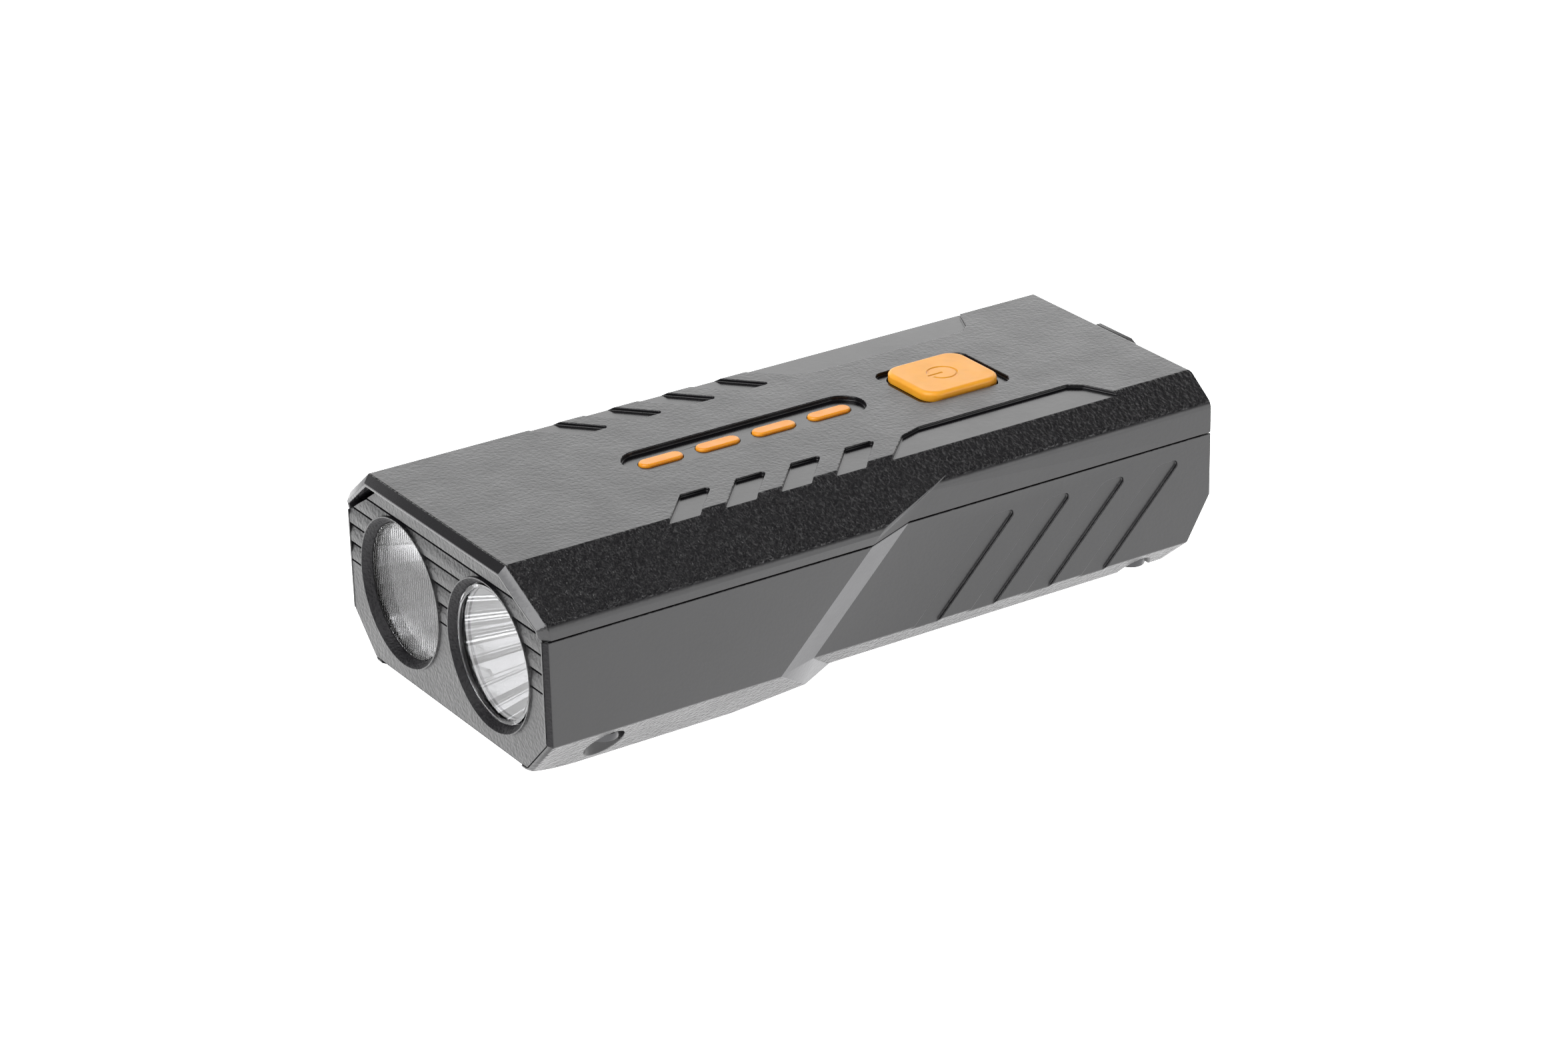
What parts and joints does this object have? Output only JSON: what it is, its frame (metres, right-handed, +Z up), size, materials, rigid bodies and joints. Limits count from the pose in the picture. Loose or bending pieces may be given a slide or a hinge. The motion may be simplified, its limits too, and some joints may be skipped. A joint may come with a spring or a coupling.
{
  "type": "bicycle headlight",
  "caption": "Rechargeable bicycle headlight: long faceted housing, fluted and clear lenses side by side under a hood, charge gauge, orange power key, covered charging port and slide rail.",
  "frame": {"origin": "on the surface it rests on, under the middle of the overall width and length", "axes": "+Y runs from the lamps to the charging port, +Z up through the power key, +X across the housing towards the clear lens"},
  "size_m": [0.05, 0.1066, 0.0295],
  "materials": {
    "housing_black": "fine moulded grain, satin",
    "face_grey": "fine moulded grain, satin",
    "clear_lens": "polished clear plastic",
    "reflector_silver": "vacuum-metallised, mirror",
    "seal_rubber": "matte",
    "cover_rubber": "matte, fine grain",
    "orange_silicone": "satin, translucent look",
    "orange_pill": "satin light guide",
    "screw_steel": "zinc plated",
    "screw_black": "black oxide",
    "aluminium": "raw, machined",
    "board_green": "solder mask",
    "board_white": "white solder mask on metal",
    "chip_black": "matt epoxy",
    "led_yellow": "phosphor silicone",
    "cell_sleeve": "blue shrink sleeve over a metal can",
    "nickel": "nickel strip",
    "tray_plastic": "plain moulded",
    "foam": "open foam",
    "wire_red": "silicone insulation",
    "rail_black": "fine moulded grain"
  },
  "bodies": {
    "housing": {"upper_shell": "housing_black", "lower_shell": "housing_black", "shell_seal": "seal_rubber", "case_screws": "screw_black", "face_plate": "face_grey", "flood_lens": "clear_lens", "spot_lens": "clear_lens", "flood_gasket": "seal_rubber", "spot_gasket": "seal_rubber", "flood_reflector": "reflector_silver", "spot_reflector": "reflector_silver", "flood_led": "led_yellow", "spot_led": "led_yellow", "led_board": "board_white", "heat_sink": "aluminium", "heat_sink_screws": "screw_steel", "cell_left": "cell_sleeve", "cell_right": "cell_sleeve", "cell_tab_front": "nickel", "cell_tab_rear": "nickel", "cell_tray": "tray_plastic", "cell_pad": "foam", "main_board": "board_green", "main_board_screws": "screw_steel", "gauge_leds": "led_yellow", "gauge_pill_1": "orange_pill", "gauge_pill_2": "orange_pill", "gauge_pill_3": "orange_pill", "gauge_pill_4": "orange_pill", "button_seal": "seal_rubber", "switch_base": "tray_plastic", "controller_chip": "chip_black", "power_coil": "chip_black", "usb_board": "board_green", "usb_board_screws": "screw_steel", "usb_shell": "screw_steel", "usb_tongue": "chip_black", "led_leads": "wire_red", "cell_leads": "wire_red", "usb_leads": "wire_red", "port_strap": "cover_rubber", "bracket_rail": "rail_black", "rail_screws": "screw_steel"},
    "button": {"power_button": "orange_silicone", "switch_plunger": "tray_plastic"},
    "cover": {"port_cover": "cover_rubber"}
  },
  "joints": [
    {"name": "button_press", "type": "slide", "parent": "housing", "child": "button", "axis": [0, 0, -1], "range_m": [0, 0.0005], "stiffness_N_per_m": 1500},
    {"name": "cover_hinge", "type": "hinge", "parent": "housing", "child": "cover", "pos_m": [0, 0.05287, 0.0136], "axis": [-1, 0, 0], "range_deg": [0, 100]}
  ]
}
